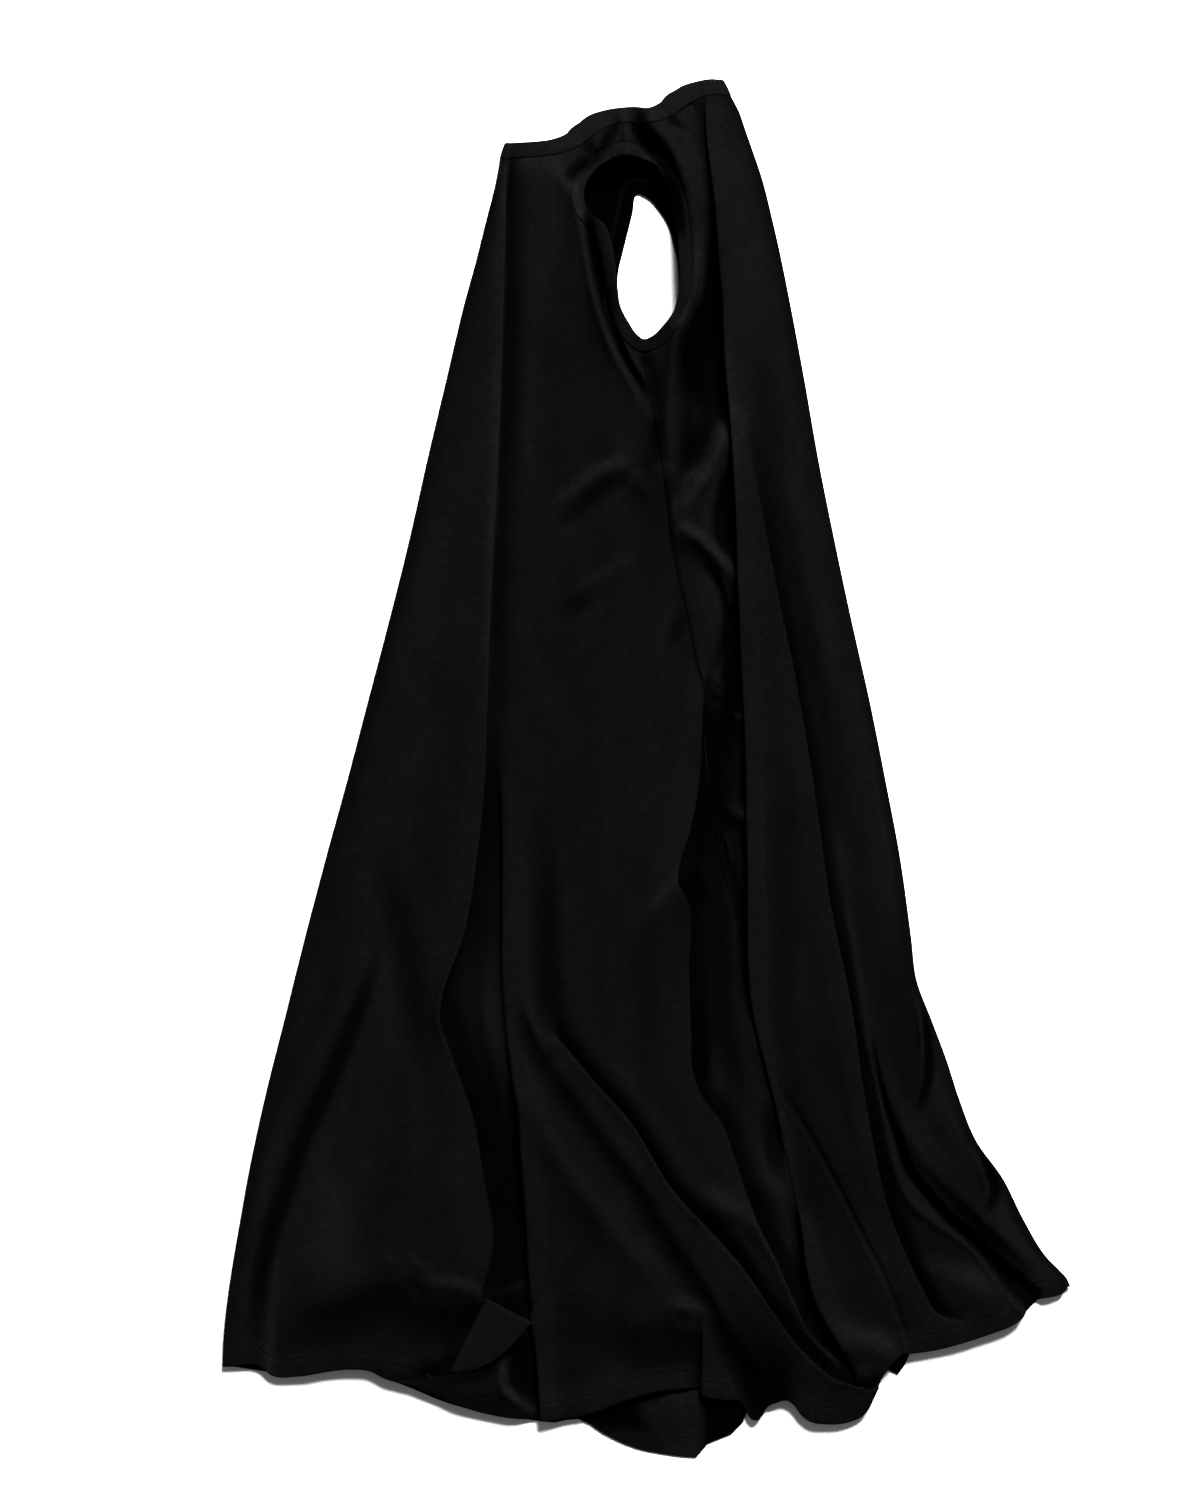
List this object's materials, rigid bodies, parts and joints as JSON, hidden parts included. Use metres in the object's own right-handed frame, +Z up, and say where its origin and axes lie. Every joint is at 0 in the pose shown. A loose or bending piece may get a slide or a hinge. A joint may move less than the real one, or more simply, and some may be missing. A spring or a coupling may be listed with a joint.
{
  "type": "sleeveless flared jersey dress",
  "caption": "Sleeveless, very full, ankle-length jersey dress lying on its side, with a bound neck and armholes, side and shoulder seams and a twin-needle hem.",
  "frame": {"origin": "under the middle of the dress as it lies, on the surface it lies on", "axes": "+X from the centre-front fold to the centre-back fold, +Y from the hem to the neck, +Z up from the surface to the wearer's left side"},
  "size_m": [0.8498, 1.3796, 0.0335],
  "materials": {
    "jersey": "matte",
    "binding": "matte",
    "thread": "matte",
    "tape": "matte",
    "label": "satin"
  },
  "bodies": {
    "root": {"back_neck_tape": "tape", "back_panel": "jersey", "care_label": "label", "front_panel": "jersey", "hem_coverstitch": "thread", "left_armhole_binding": "binding", "left_armhole_overlock": "thread", "left_shoulder_overlock": "thread", "left_shoulder_tape": "tape", "left_side_overlock": "thread", "neck_binding": "binding", "neck_overlock": "thread", "right_armhole_binding": "binding", "right_armhole_overlock": "thread", "right_shoulder_overlock": "thread", "right_shoulder_tape": "tape", "right_side_overlock": "thread", "size_label": "label"}
  },
  "joints": []
}
